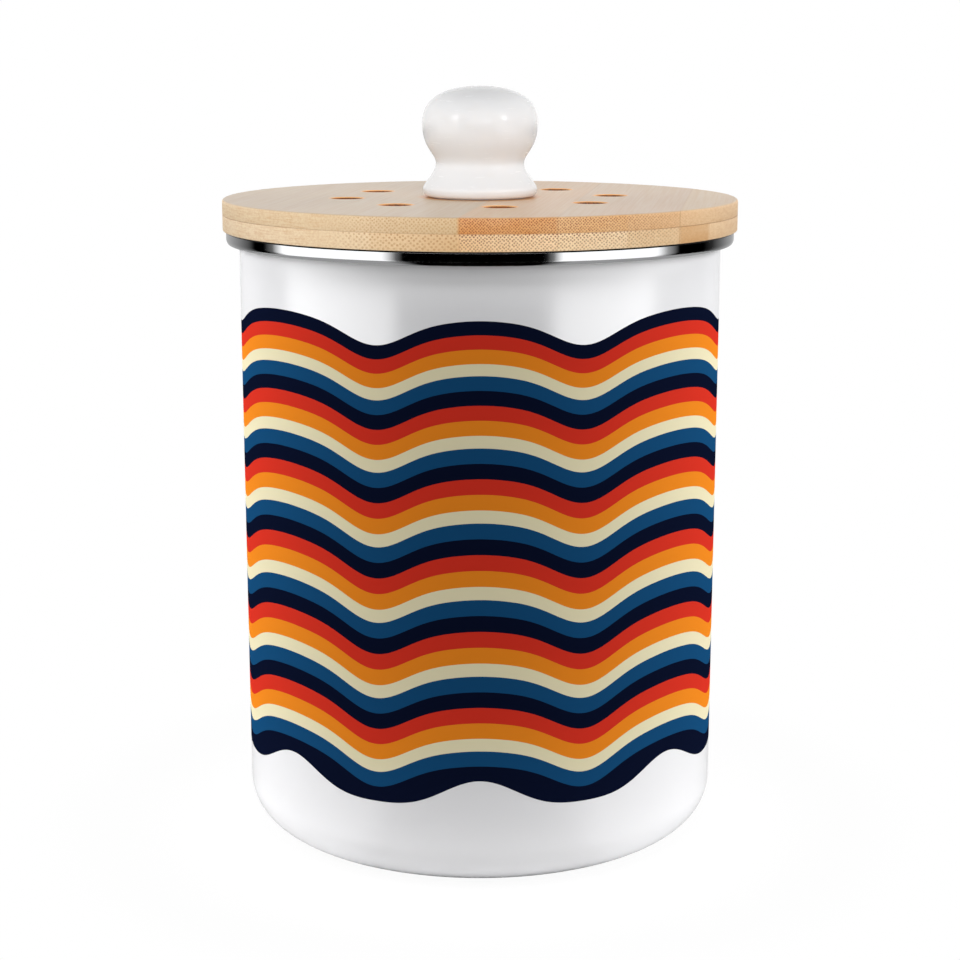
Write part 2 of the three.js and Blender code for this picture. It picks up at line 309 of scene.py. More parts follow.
def placeIn(turn=0, stretch=(1, 1, 1)):
    # object coordinates in millimetres, turned about the upright axis, then stretched
    place = addNode("TexCoord").outputs["Object"]
    scale = tuple(k / mm for k in stretch)
    for name, value in (("Rotation", (0, 0, math.radians(turn))), ("Scale", scale)):
        mapping = addNode("Mapping")
        dress(mapping, {"Vector": place, name: value})
        place = mapping.outputs[0]
    return place


def split(vector):
    node = addNode("SeparateXYZ")
    feed(node, vector)
    return node.outputs[0], node.outputs[1], node.outputs[2]


def combine(*values):
    node = addNode("CombineXYZ")
    feed(node, *values)
    return node.outputs[0]


def placeRound():
    x, y, z = split(placeIn())
    return x, y, z, longSide(x, y)


def azimuthOf(x, y):
    # the angle round the axis, 0 on the camera's side
    return calc("ARCTAN2", x, times(y, -1))


def noise(vector, scale, detail, roughness=0.5, distortion=0):
    node = addNode("TexNoise")
    dress(node, {"Vector": vector, "Scale": scale, "Detail": detail})
    dress(node, {"Roughness": roughness, "Distortion": distortion})
    return node.outputs[0]


def clouds(scale, detail):
    return noise(placeIn(), scale, detail)


def streaks(turn, stretch, detail, *values):
    return noise(placeIn(turn, stretch), 1, detail, *values)


def cells(scale):
    node = addNode("TexVoronoi")
    dress(node, {"Vector": placeIn(), "Scale": scale})
    return node.outputs["Distance"]


# a look's "clouds" are the scale and detail of its patches, the noise at which they start and are
# full, and their depth; its "drift" is how far the roughness goes down and up, its "bumps" are
# their depth in millimetres and their strength, and its "shader" has its other plain values

def mottled(look, tone=None):
    scale, detail, low, high, depth = look["clouds"]
    tone = look["tint"] if tone is None else tone
    return blendColours(rescale(clouds(scale, detail), low, high, 0, depth), tone, look["cloudTone"])


def uneven(look, pattern):
    down, up = look["drift"]
    return rescale(pattern, 0.3, 0.7, look["roughness"] - down, look["roughness"] + up)


def finish(surface, look, colour, roughness, height):
    distance, strength = look["bumps"]
    bump = addNode("Bump")
    dress(bump, {"Strength": strength, "Distance": distance * mm, "Height": height})
    dress(surface, {"Base Color": colour, "Roughness": roughness, "Normal": bump.outputs[0]})
    dress(surface, look["shader"])


# camera, the photograph's view
say("camera")
camera = {"distance": 641.0, "height": 245.3, "pitch": 11.99, "lens": 76.44, "sensor": 36.0}


def makeCamera():
    data = bpy.data.cameras.new("camera")
    data.lens = camera["lens"]
    data.sensor_width = camera["sensor"]
    item = bpy.data.objects.new("camera", data)
    item.location = (0, -camera["distance"] * mm, camera["height"] * mm)
    item.rotation_euler = (math.radians(90 - camera["pitch"]), 0, 0)
    bpy.context.scene.collection.objects.link(item)
    bpy.context.scene.camera = item


makeCamera()


# coated steel canister, with the printed waves
say("canister")
canister = {
    "radius": 75.0,
    "wall": 0.8,
    "baseCorner": 13.5,
    "edgeHeight": 189.2,
    "loops": (40.0, 80.0, 120.0, 160.0),  # heights of the loops in its wall
    "segments": 192,
    "tint": shade(244, 244, 246),
    "cloudTone": shade(232, 232, 236),
    "clouds": (0.05, 3, 0.35, 0.65, 0.03),
    "wear": (0.35, 4),
    "roughness": 0.18,
    "drift": (0.02, 0.03),
    "peel": (0.9, 1),
    "bumps": (0.012, 0.6),
    "shader": {"IOR": 1.95},
    "coatShine": 1.0,
    "printShine": 0.0,
    "printRoughness": 0.5,
}
waves = {
    "top": 170.42,  # height of the first band's upper edge at a crest
    "lean": 0.15,  # how much higher the print sits on the right than in the middle
    "count": (0.05244, -9.277e-5, 3.201e-7),  # repeats by depth below that edge, each a little deeper
    "repeats": 6,
    "crests": 7,  # round the canister
    "height": 4.1,  # half of a wave, crest to trough
    "calm": 0.51,  # how much of that is lost from the calm height up to the top
    "calmFrom": 94.0,
    "calmTo": 170.0,
    "calmCurve": 1.5,
    "skew": 0.2166,  # broad crests over narrow troughs
    "third": 0.036,  # rounder crests
    "sway": (-1.04, 1.353),  # how the crests crowd and spread on the front half
    "doubleSway": (0.9605, -0.885),  # the first at the top, the second added on the way down
    "swayTop": 170.0,
    "swayDepth": 135.0,
    "hem": (29.71, 4.24, 0.84),  # the last band's lower edge: its middle and its two waves
    "colours": (
        (0.0, shade(10, 16, 37)),
        (0.2054, shade(200, 48, 34)),
        (0.4119, shade(223, 128, 32)),
        (0.6196, shade(221, 212, 177)),
        (0.7926, shade(19, 68, 109)),
    ),
}


def printedCoat():
    # white glossy coat, with wavy bands worked out from the angle and the height
    material, surface = newMaterial("printedCoat")
    x, y, z, radius = placeRound()
    angle = azimuthOf(x, y)
    fall = calc("DIVIDE", minus(waves["swayTop"], z), waves["swayDepth"])
    front = timesPlus(calc("COSINE", angle), 0.5, 0.5)
    phase = times(angle, waves["crests"])
    for turns, name in ((1, "sway"), (2, "doubleSway")):
        high, added = waves[name]
        reach = times(timesPlus(fall, added, high), front)
        phase = timesPlus(reach, calc("SINE", times(angle, turns)), phase)
    wave, second, third = (calc("COSINE", times(phase, k)) for k in (1, 2, 3))
    shape = timesPlus(third, waves["third"], timesPlus(second, -waves["skew"], wave))
    crest = 1 - waves["skew"] + waves["third"]
    calm = rescale(z, waves["calmFrom"], waves["calmTo"], 0, 1)
    height = timesPlus(calc("POWER", calm, waves["calmCurve"]), -waves["calm"], waves["height"])
    drop = times(minus(crest, shape), height)
    lean = times(calc("SINE", angle), waves["lean"])
    depth = minus(waves["top"], minus(calc("ADD", z, drop), lean))
    first, faster, fastest = waves["count"]
    count = times(timesPlus(timesPlus(depth, fastest, faster), depth, first), depth)
    colour = bands(calc("FRACT", count), waves["colours"])
    colour = blendColours(above(count, waves["repeats"]), colour, waves["colours"][0][1])
    hemHeight, hemFirst, hemSecond = waves["hem"]
    hem = timesPlus(second, hemSecond, timesPlus(wave, hemFirst, hemHeight))
    printed = times(above(depth, 0), above(z, calc("ADD", hem, lean)))
    printed = times(printed, above(radius, canister["radius"] - canister["wall"] / 2))
    colour = blendColours(printed, mottled(canister), colour)
    roughness = uneven(canister, clouds(*canister["wear"]))
    roughness = rescale(printed, 0, 1, roughness, canister["printRoughness"])
    finish(surface, canister, colour, roughness, clouds(*canister["peel"]))
    # the plain value is for the export, which leaves out the linked one
    shine = surface.inputs["Specular IOR Level"]
    plug(shine, rescale(printed, 0, 1, canister["coatShine"], canister["printShine"]))
    shine.default_value = 0.5
    return material


def makeCanister():
    radius, wall, corner = pull(canister, "radius", "wall", "baseCorner")
    flat = radius - corner
    outline = [(core, 0), (flat - 1, 0)]
    outline += arcPoints(flat, corner, corner, -90, 0, 16)
    outline += [(radius, height) for height in canister["loops"]]
    outline += arcPoints(radius - wall / 2, canister["edgeHeight"] - wall / 2, wall / 2, 0, 180, 6)
    outline += [(radius - wall, height) for height in reversed(canister["loops"])]
    outline += arcPoints(flat, corner, corner - wall, 0, -90, 12)
    outline += [(flat - 1, wall), (core, wall)]
    piece = turnPiece("canister", outline, canister["segments"])
    settle(piece, "canister", printedCoat(), "canister_shell")


makeCanister()


# polished rim band
say("rim band")
rim = {
    "outer": 79.0,
    "top": 190.0,
    "height": 3.9,
    "topEdge": 0.4,
    "paintedGapShadeTone": shade(24, 24, 26),  # painted shade: the rolled top edge is painted dark, standing for the shadow gap under the lid and the dark reflection of its underside
    "underEdge": 0.2,  # the tight turn at the bottom, and the wide bend that leads into it
    "underBend": 2.4,
    "underSlope": 35.0,
    "mouthEdge": 1.2,
    "support": 0.08,  # loops beside the bends, which keep the wall between them straight
    "sheet": 0.5,
    "sleeveInner": 73.4,
    "sleeveDepth": 9.0,
    "beadInner": 75.3,
    "segments": 192,
    "tint": shade(234, 235, 236),
    "cloudTone": shade(196, 199, 203),
    "clouds": (0.08, 2, 0.3, 0.7, 0.12),
    "lines": (6, 5, 3),  # fine lines round the band: their length, scale and detail
    "roughness": 0.04,
    "drift": (0.01, 0.02),
    "bumps": (0.0008, 0.2),
    "shader": {"Metallic": 1},
}


def polishedSteel():
    material, surface = newMaterial("polishedSteel")
    x, y, z, radius = placeRound()
    length, scale, detail = rim["lines"]
    lines = noise(combine(times(calc("ARCTAN2", y, x), length), 0, z), scale, detail)
    # painted shade: a dark line on the band's rolled top edge, where the lid's shadow gap falls
    edge = times(above(z, rim["top"] - rim["topEdge"]), above(radius, rim["outer"] - rim["topEdge"]))
    finish(surface, rim, blendColours(edge, mottled(rim), rim["paintedGapShadeTone"]), uneven(rim, lines), lines)
    return material


def makeRimBand():
    outer, top, inner, sheet = pull(rim, "outer", "top", "sleeveInner", "sheet")
    edge, bend, slope = pull(rim, "underEdge", "underBend", "underSlope")
    topEdge, mouth, support = pull(rim, "topEdge", "mouthEdge", "support")
    bead = top - rim["height"]
    bendHeight = bead + edge + (bend - edge) * math.sin(math.radians(slope))
    turnRadius = outer - bend + (bend - edge) * math.cos(math.radians(slope))
    outline = [(rim["beadInner"], top - sheet), (rim["beadInner"], bead)]
    outline += arcPoints(turnRadius, bead + edge, edge, -90, -slope, 4)
    outline += arcPoints(outer - bend, bendHeight, bend, -slope, 0, 8)[1:]
    outline += [(outer, bendHeight + support), (outer, top - topEdge - support)]
    outline += arcPoints(outer - topEdge, top - topEdge, topEdge, 0, 90, 6)
    outline += [(outer - topEdge - support, top), (inner + mouth + support, top)]
    outline += arcPoints(inner + mouth, top - mouth, mouth, 90, 180, 6)
    outline += arcPoints(inner + sheet / 2, top - rim["sleeveDepth"] + sheet / 2, sheet / 2, -180, 0, 4)
    outline += [(inner + sheet, top - sheet)]
    piece = turnPiece("rimBand", outline, rim["segments"], closed=True)
    settle(piece, "canister", polishedSteel(), "rim_band")


makeRimBand()


# bamboo lid boards
say("lid boards")
lid = {
    "radius": 80.0,
    "under": 190.0,
    "lower": 5.0,
    "upper": 4.6,
    "topEdge": 0.8,
    "underEdge": 0.25,
    "underGap": 0.1,  # the rim of the underside stands clear of the band by this much
    "underGapFrom": 78.0,
    "glueEdge": 0.08,
    "faceLoop": 0.4,  # a loop inside the edge of a flat face
    "vents": 8,
    "ventRadius": 5.0,
    "ventCircle": 41.5,
    "ventStart": 8.0,
    "ventEdge": 0.25,
    "screwHole": 2.8,
    "pilots": 4,
    "pilotHole": 1.8,
    "pilotCircle": 50.6,
    "pilotStart": 30.5,
    "pilotDepth": 4.4,
    "holeTones": (shade(214, 128, 64), shade(150, 80, 32)),  # along the grain, and across it
    "holeDepth": 0.95,
    "pitTone": shade(70, 26, 8),  # fibre ends that the drill opened
    "pitSize": 0.55,
    "rimTone": shade(255, 196, 128),  # a painted highlight: a light ring round each hole on the top
    "rimReach": (5.0, 6.2),
    "footTone": shade(224, 168, 116),  # and a painted warm reflection and shade of the knob round its foot
    "footReach": (17.2, 20.5),
    "segments": 192,
}
grain = {
    "turn": 8.0,  # fibres run a little off the front-to-back line
    "span": 200.0,  # across the grain, wider than the lid
    "endsFrom": (0.45, 0.95),  # how squarely a face must cut the fibres to show their ends
    "flatFrom": (0.6, 0.95),  # and how level it must be to count as sanded
    "strands": ((1.6, 0.025, 1.6), 4, 0.6),
    "strandTone": shade(200, 144, 86),
    "strandDepth": (0.4, 0.7, 0, 0.32),
    "hairs": ((6, 0.08, 6), 2, 0.5),
    "hairTone": shade(186, 128, 74),
    "hairDepth": (0.45, 0.7, 0, 0.14),
    "patches": ((0.09, 0.012, 0.2), 2, 0.5),
    "patchTone": shade(240, 220, 180),
    "patchDepth": (0.35, 0.65, 0, 0.18),
    "seams": (5.4, 32.0, 64.4),  # glue joints that show as a line
    "seamWidth": 0.09,
    "seamDepth": 0.45,
    "coarseTo": 5.4,  # up to here the fibre bundles are thick and pale
    "coarseFade": (-38.0, -18.0),  # and on this stretch they die out
    "glueTone": shade(166, 108, 60),
    "glueWidth": 0.1,
    "dotDrift": 0.36,  # how far the bundles stray from their rows
    "dotEdge": (0.6, 1.3),
    "dotCurve": 1.6,
    "streakFrom": (-24.0, -44.0),  # left of this the edge shows long streaks
    "streakTone": shade(206, 150, 92),
    "streakDepth": 0.38,
    "streakScale": (12, 2.2),  # round the edge, and up it
    "topTones": (  # the sanded top, strip by strip
        (-82.0, (214, 188, 161), (214, 188, 161)),
        (5.4, (230, 192, 152), (226, 190, 154)),
        (32.0, (220, 190, 162), (220, 188, 158)),
        (64.4, (224, 192, 154), (224, 192, 154)),
    ),
    "topEven": 0.85,
    "roughness": 0.42,
    "drift": (0, 0.1),
    "sanding": 0.14,  # how much smoother the flat faces are
    "bumps": (0.025, 0.4),
    "shader": {},
}
upperBoard = {
    "name": "bambooUpper",
    "faces": (195.0, 199.6),
    "glue": 195.0,
    # fibre bundles: pitch across, pitch up, size and darkness at the upper face, then at the lower
    "fine": (0.86, 0.9, 0.33, 1.0, 0.35, 0.75),
    "coarse": (1.2, 1.2, 0.28, 0.55, 0.34, 0.35),
    "dotTone": shade(146, 62, 10),
    "coarseTone": shade(172, 110, 38),
    "strips": (  # where each strip starts, its tone there and at its far side
        (-82.0, (242, 218, 180), (232, 206, 168)),
        (-20.0, (230, 204, 166), (212, 184, 142)),
        (5.4, (220, 150, 82), (222, 162, 98)),
        (32.0, (230, 182, 126), (228, 180, 124)),
        (50.5, (228, 184, 134), (232, 188, 140)),
        (64.4, (237, 197, 151), (240, 200, 158)),
    ),
}
lowerBoard = {
    "name": "bambooLower",
    "faces": (190.0, 195.0),
    "glue": 195.0,
    "fine": (1.04, 1.06, 0.32, 1.0, 0.34, 0.5),
    "coarse": (1.6, 1.5, 0.27, 0.62, 0.35, 0.36),
    "dotTone": shade(116, 46, 6),
    "coarseTone": shade(166, 100, 22),
    "strips": (
        (-82.0, (247, 225, 191), (238, 213, 176)),
        (-20.0, (234, 206, 166), (214, 180, 134)),
        (5.4, (229, 192, 144), (247, 216, 174)),
        (32.0, (247, 220, 178), (242, 215, 176)),
        (50.5, (230, 200, 158), (228, 194, 150)),
        (64.4, (214, 164, 110), (216, 170, 118)),
        (72.0, (236, 200, 156), (240, 206, 168)),
    ),
}


def stripTones(across, strips):
    # a tone for each strip, drifting a little over its width
    stops = []
    ends = [strip[0] for strip in strips[1:]] + [grain["span"] / 2]
    for (start, nearTone, farTone), end in zip(strips, ends):
        stops.append((start / grain["span"] + 0.5, shade(*nearTone)))
        stops.append((end / grain["span"] + 0.4995, shade(*farTone)))
    return bands(timesPlus(across, 1 / grain["span"], 0.5), stops, True)


def fibreDots(across, z, bundles, faces):
    # bundles of fibres cut across, in staggered rows: small and dark near the board's upper face
    pitchAcross, pitchUp, small, dark, large, faint = bundles
    column = times(across, 1 / pitchAcross)
    row = times(z, 1 / pitchUp)
    lattice = combine(calc("ADD", column, row), minus(row, column))
    spots = addNode("TexVoronoi")
    spots.voronoi_dimensions = "2D"
    dress(spots, {"Vector": lattice, "Scale": 1, "Randomness": grain["dotDrift"]})
    rise = rescale(z, *faces, 0, 1)
    size = timesPlus(rise, small - large, large)
    inside = fade(calc("DIVIDE", spots.outputs["Distance"], size), *grain["dotEdge"], 1, 0)
    strength = timesPlus(calc("POWER", rise, grain["dotCurve"]), dark - faint, faint)
    share = timesPlus(split(spots.outputs["Color"])[0], 0.35, 0.75)
    return calc("MULTIPLY", times(inside, strength), share, clamp=True)


def fromVent(x, y, radius):
    # the distance from the middle of the nearest vent hole
    sector = math.radians(360 / lid["vents"])
    angle = calc("ADD", calc("ARCTAN2", y, x), sector / 2 - math.radians(lid["ventStart"]))
    angle = minus(calc("FLOORED_MODULO", angle, sector), sector / 2)
    out = minus(times(radius, calc("COSINE", angle)), lid["ventCircle"])
    return longSide(times(radius, calc("SINE", angle)), out)


def bamboo(board):
    material, surface = newMaterial(board["name"])
    across, _, z = split(placeIn(grain["turn"]))
    x, y, _, radius = placeRound()
    low, high = board["faces"]
    # where the face cuts the fibres, and where it is the sanded top or underside
    turn = math.radians(grain["turn"])
    normalX, normalY, normalZ = split(addNode("TexCoord").outputs["Normal"])
    facing = timesPlus(normalX, math.sin(turn), times(normalY, math.cos(turn)))
    ends = fade(calc("ABSOLUTE", facing), *grain["endsFrom"])
    flat = fade(calc("ABSOLUTE", normalZ), *grain["flatFrom"])
    strands, hairs, patches = (streaks(grain["turn"], *grain[k]) for k in ("strands", "hairs", "patches"))
    strip, sanded = stripTones(across, board["strips"]), stripTones(across, grain["topTones"])
    colour = blendColours(times(flat, grain["topEven"]), strip, sanded)
    colour = blendColours(rescale(patches, *grain["patchDepth"]), colour, grain["patchTone"])
    faint = timesPlus(flat, -0.7, 1)
    for pattern, name in ((strands, "strand"), (hairs, "hair")):
        amount = times(rescale(pattern, *grain[name + "Depth"]), faint)
        colour = blendColours(amount, colour, grain[name + "Tone"])
    # long streaks round the edge where it runs along the fibres
    roundScale, upScale = grain["streakScale"]
    wrapped = combine(times(calc("ARCTAN2", x, y), roundScale), 0, times(z, upScale))
    long = rescale(noise(wrapped, 1, 3, 0.55), 0.45, 0.68, 0, grain["streakDepth"])
    flank = times(minus(1, flat), fade(across, *grain["streakFrom"]))
    colour = blendColours(times(long, flank), colour, grain["streakTone"])
    # thick pale bundles on one side, fine dark ones on the other
    fine, coarse = (fibreDots(across, z, board[k], board["faces"]) for k in ("fine", "coarse"))
    coarse = times(coarse, fade(across, *grain["coarseFade"]))
    side = below(across, grain["coarseTo"])
    dots = times(timesPlus(side, minus(coarse, fine), fine), ends)
    colour = blendColours(dots, colour, blendColours(side, board["dotTone"], board["coarseTone"]))
    # glue joints between the strips, and the line between the boards
    seam = 0
    for joint in grain["seams"]:
        seam = calc("MAXIMUM", seam, calc("COMPARE", across, joint, grain["seamWidth"]))
    seam = times(times(seam, timesPlus(flat, -0.6, 1)), grain["seamDepth"])
    glue = times(calc("COMPARE", z, board["glue"], grain["glueWidth"]), timesPlus(ends, -0.5, 0.65))
    for amount in (seam, glue):
        colour = blendColours(amount, colour, grain["glueTone"])
    # painted light: a highlight ring round each vent hole, and a warm reflection and shade of the knob round
    # its foot
    onTop = above(normalZ, 0.3)
    for distance, name in ((fromVent(x, y, radius), "rim"), (radius, "foot")):
        paintedLightRing = fade(distance, *lid[name + "Reach"], 1, 0)
        colour = blendColours(times(paintedLightRing, onTop), colour, lid[name + "Tone"])
    # the walls of the vent holes, browned by the drill
    middle = calc("COMPARE", z, (low + high) / 2, (high - low) / 2 - lid["ventEdge"])
    drilled = times(below(radius, lid["ventCircle"] + 2 * lid["ventRadius"]), middle)
    pits = rescale(cells(1 / lid["pitSize"]), 0.25, 0.6, 1, 0)
    scorch = blendColours(times(pits, ends), blendColours(ends, *lid["holeTones"]), lid["pitTone"])
    colour = blendColours(times(drilled, lid["holeDepth"]), colour, scorch)
    roughness = timesPlus(flat, -grain["sanding"], uneven(grain, strands))
    finish(surface, grain, colour, roughness, timesPlus(dots, -0.6, times(strands, 0.6)))
    return material


def ventCutters(low, high, flareTop):
    # through cutters with a small flare where the hole meets the lid's open face
    radius, edge, hole = pull(lid, "ventRadius", "ventEdge", "screwHole")
    wide = radius + 5 * edge
    if flareTop:
        outline = [(radius, low - overrun), (radius, high - edge), (wide, high + 4 * edge)]
    else:
        outline = [(wide, low - 4 * edge), (radius, low + edge), (radius, high + overrun)]
    first = turnPiece("ventCutter", outline, 48)
    cutters = copiesRound(first, lid["vents"], lid["ventCircle"], lid["ventStart"])
    return cutters + [plainRod(hole, low - overrun, high + overrun, 24)]


def pilotCopies(first):
    return copiesRound(first, lid["pilots"], lid["pilotCircle"], lid["pilotStart"])


def makeUpperBoard():
    low = lid["under"] + lid["lower"]
    high = low + lid["upper"]
    radius, edge, glue, loop = pull(lid, "radius", "topEdge", "glueEdge", "faceLoop")
    outline = [(radius - glue - loop, low)]
    outline += arcPoints(radius - glue, low + glue, glue, -90, 0, 3)
    outline += arcPoints(radius - edge, high - edge, edge, 0, 90, 6)
    outline += [(radius - edge - loop, high)]
    board = turnPiece("lidUpperBoard", outline, lid["segments"])
    merge(board, joinPieces(ventCutters(low, high, True)))
    settle(board, "lid", bamboo(upperBoard), "lid_upper_ply")


def makeLowerBoard():
    low = lid["under"]
    high = low + lid["lower"]
    radius, edge, glue, loop = pull(lid, "radius", "underEdge", "glueEdge", "faceLoop")
    clear = low + lid["underGap"]
    outline = [(lid["underGapFrom"], low), (lid["underGapFrom"], clear)]
    outline += arcPoints(radius - edge, clear + edge, edge, -90, 0, 6)
    outline += arcPoints(radius - glue, high - glue, glue, 0, 90, 3)
    outline += [(radius - glue - loop, high)]
    board = turnPiece("lidLowerBoard", outline, lid["segments"])
    cutters = ventCutters(low, high, False)
    cutters += pilotCopies(plainRod(lid["pilotHole"], low - overrun, low + lid["pilotDepth"], 16))
    merge(board, joinPieces(cutters))
    settle(board, "lid", bamboo(lowerBoard), "lid_lower_ply")


makeUpperBoard()
makeLowerBoard()


# turned knob
say("knob")
knob = {
    "foot": 199.6,
    "height": 34.0,
    "bulbRadius": 18.0,
    "bulbHeight": 22.9,
    "neckRadius": 13.75,
    "neckHeight": 10.5,
    "baseRadius": 17.85,
    "baseHeight": 2.6,
    "footRadius": 16.7,
    "tipRadius": 0.2,
    "neckShares": (0.19, 0.38),  # how far each bend's handles reach, as shares of its height
    "bulbShares": (0.24, 0.65),
    "topShares": (0.66, 0.62),  # the second one is a share of the bulb's radius
    "steps": (8, 14, 16, 22),  # of the base, neck, bulb and top
    "stepInset": 1.8,
    "stepHeight": 0.4,
    "pocketRadius": 4.5,
    "pocketDepth": 13.4,
    "flangeRadius": 6.8,
    "flangeDepth": 1.3,
    "flangeGap": 0.01,  # keeps the first ring off the edge of the seat
    "segments": 128,
    "tint": shade(236, 236, 237),
    "cloudTone": shade(226, 226, 230),
    "clouds": (0.12, 3, 0.35, 0.65, 0.06),
    "turning": (0, (0.15, 0.15, 1.6), 3),
    "roughness": 0.22,
    "drift": (0.03, 0.06),
    "bumps": (0.0006, 0.1),
    "shader": {
        "Subsurface Weight": 0.35,  # share of light that goes through the lacquer and spreads
        "Subsurface Scale": 5.0 * mm,
        "Subsurface Radius": (1, 0.95, 0.9),
        "Coat Weight": 0.4,
        "Coat Roughness": 0.15,
    },
}


def whiteLacquer():
    material, surface = newMaterial("whiteLacquer")
    turning = streaks(*knob["turning"])
    finish(surface, knob, mottled(knob), uneven(knob, turning), turning)
    return material


def uprightBend(start, end, shares, steps):
    # a bend that leaves and arrives upright, without its first point
    rise = end[1] - start[1]
    leaving = (start[0], start[1] + rise * shares[0])
    arriving = (end[0], end[1] - rise * shares[1])
    return bendPoints(start, leaving, arriving, end, steps)[1:]


def makeKnob():
    foot, steps = knob["foot"], knob["steps"]
    step = foot + knob["stepHeight"]
    footRadius, inner = knob["footRadius"], knob["footRadius"] - knob["stepInset"]
    base, neck, bulb = ((knob[k + "Radius"], foot + knob[k + "Height"]) for k in ("base", "neck", "bulb"))
    top = foot + knob["height"]
    outline = [(knob["flangeRadius"] + knob["flangeGap"], foot), (inner, foot), (inner, step)]
    leaving, arriving = ((footRadius + base[0]) / 2, step), (base[0], foot + knob["baseHeight"] / 2)
    outline += bendPoints((footRadius, step), leaving, arriving, base, steps[0])
    outline += uprightBend(base, neck, knob["neckShares"], steps[1])
    outline += uprightBend(neck, bulb, knob["bulbShares"], steps[2])
    riseShare, reachShare = knob["topShares"]
    leaving, arriving = (bulb[0], bulb[1] + (top - bulb[1]) * riseShare), (bulb[0] * reachShare, top)
    outline += bendPoints(bulb, leaving, arriving, (knob["tipRadius"], top), steps[3])[1:]
    piece = turnPiece("turnedKnob", outline, knob["segments"])
    for name in ("pocket", "flange"):
        merge(piece, plainRod(knob[name + "Radius"], foot - overrun, foot + knob[name + "Depth"], 32))
    settle(piece, "lid", whiteLacquer(), "knob")


makeKnob()


# bamboo ring that centres the lid in the mouth, and the silicone seal in its groove
say("locating ring and seal")
ring = {
    "outer": 69.5,
    "inner": 56.0,
    "under": 182.0,
    "top": 190.0,
    "chamfer": 1.0,
    "grooveLow": 183.5,
    "grooveHigh": 188.5,
    "grooveRadius": 67.0,
    "edge": 0.2,
    "segments": 160,
}
ringBoard = {
    "name": "bambooRing",
    "faces": (180.0, 190.0),
    "glue": 186.0,
    "fine": (1.2, 1.2, 0.24, 0.6, 0.3, 0.3),
    "coarse": (1.7, 1.6, 0.24, 0.45, 0.32, 0.2),
    "dotTone": shade(146, 88, 42),
    "coarseTone": shade(160, 104, 50),
    "strips": (
        (-82.0, (236, 208, 160), (234, 202, 152)),
        (5.4, (230, 190, 138), (232, 196, 146)),
        (32.0, (236, 206, 158), (234, 204, 154)),
        (64.4, (230, 196, 146), (234, 202, 152)),
    ),
}
seal = {
    "inner": 67.3,
    "band": 69.5,
    "reach": 73.1,
    "low": 183.8,
    "high": 188.2,
    "lips": 2,
    "pitch": 2.1,
    "root": 0.9,
    "tip": 0.5,
    "rise": 1.1,
    "edge": 0.12,
    "segments": 160,
    "tint": shade(228, 226, 220),
    "cloudTone": shade(214, 210, 202),
    "clouds": (0.15, 3, 0.3, 0.7, 0.3),
    "dustTone": shade(190, 184, 172),
    "dustScale": 1.4,
    "dustDepth": 0.25,
    "roughness": 0.42,
    "drift": (0, 0.14),
    "skin": (2.5, 2),
    "bumps": (0.01, 0.4),
    "shader": {"Subsurface Weight": 0.35, "Subsurface Scale": 1.5 * mm},
}


def makeLocatingRing():
    inner, outer, under, top, chamfer = pull(ring, "inner", "outer", "under", "top", "chamfer")
    low, high, cut = pull(ring, "grooveLow", "grooveHigh", "grooveRadius")
    outline = [(inner, under), (outer - chamfer, under), (outer, under + chamfer), (outer, low)]
    outline += [(cut, low), (cut, high), (outer, high), (outer, top), (inner, top)]
    piece = turnPiece("locatingRing", outline, ring["segments"], closed=True)
    roundEdges(piece, ring["edge"])
    settle(piece, "lid", bamboo(ringBoard), "lid_locating_ring")


def whiteSilicone():
    material, surface = newMaterial("whiteSilicone")
    dust = rescale(cells(seal["dustScale"]), 0.04, 0.1, seal["dustDepth"], 0)
    colour = blendColours(dust, mottled(seal), seal["dustTone"])
    finish(surface, seal, colour, uneven(seal, clouds(*seal["clouds"][:2])), clouds(*seal["skin"]))
    return material


def makeSeal():
    inner, band, reach, low, high = pull(seal, "inner", "band", "reach", "low", "high")
    outline = [(inner, low)]
    for i in range(seal["lips"]):
        root = low + i * seal["pitch"]
        tip = root + seal["rise"]
        outline += [(band, root), (reach, tip), (reach, tip + seal["tip"]), (band, root + seal["root"])]
    outline += [(band, high), (inner, high)]
    piece = turnPiece("lidSeal", outline, seal["segments"], closed=True)
    roundEdges(piece, seal["edge"], angle=25)
    settle(piece, "lid", whiteSilicone(), "lid_seal")


makeLocatingRing()
makeSeal()


# filter frame and its push-fit cap, both moulded in off-white plastic
say("filter")
holder = {
    "outer": 55.6,
    "bore": 54.0,
    "flangeBore": 47.2,
    "flange": 1.6,
    "low": 179.0,
    "top": 190.0,
    "holeRadius": 1.8,
    "holeFlare": 0.5,
    "edge": 0.25,
    "segments": 160,
    "tint": shade(232, 231, 227),
    "cloudTone": shade(222, 220, 213),
    "clouds": (0.06, 3, 0.35, 0.65, 0.35),
    "roughness": 0.42,
    "drift": (0.04, 0.06),
    "texture": (4, 2),
    "bumps": (0.012, 0.5),
    "shader": {},
}
grille = {
    "lip": 57.1,
    "skirt": 53.7,
    "bore": 52.2,
    "low": 177.4,
    "floor": 179.0,
    "skirtTop": 185.0,
    "hub": 9.0,
    "rib": 4.0,
    "rings": 3,
    "sectors": 8,
    "corner": 1.1,
    "edge": 0.3,
    "gripLength": 40.0,
    "gripWidth": 6.0,
    "gripDepth": 6.0,
    "gripEdge": 1.2,
    "segments": 160,
}
